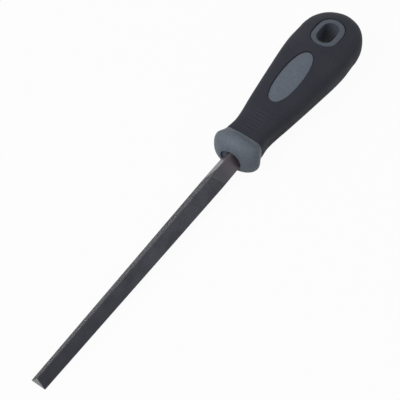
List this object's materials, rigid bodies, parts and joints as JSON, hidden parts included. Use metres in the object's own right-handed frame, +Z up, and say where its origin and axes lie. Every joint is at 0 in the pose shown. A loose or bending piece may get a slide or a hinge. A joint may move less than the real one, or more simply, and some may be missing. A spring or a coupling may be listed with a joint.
{
  "type": "three-square file",
  "caption": "Hand file with a tapering three-cornered single-cut steel blade, and a soft-grip handle with oval inlays, a flared collar and a hanging hole.",
  "frame": {"origin": "under the middle of the file's length, level with the lowest point of the handle", "axes": "+X along the blade from the tip to the butt, +Z up out of the face with the upper oval"},
  "size_m": [0.259, 0.0354, 0.024],
  "materials": {
    "file_steel": "dark hardened tool steel, single-cut teeth, bare heel",
    "grey_plastic": "matte, finely textured blue-grey moulding",
    "black_soft_grip": "matte soft-touch overmoulding"
  },
  "bodies": {
    "root": {"file_blade": "file_steel", "handle_core": "grey_plastic", "collar": "grey_plastic", "soft_grip": "black_soft_grip", "upper_inlay": "grey_plastic", "lower_inlay": "grey_plastic", "hanging_eyelet": "grey_plastic"}
  },
  "joints": []
}
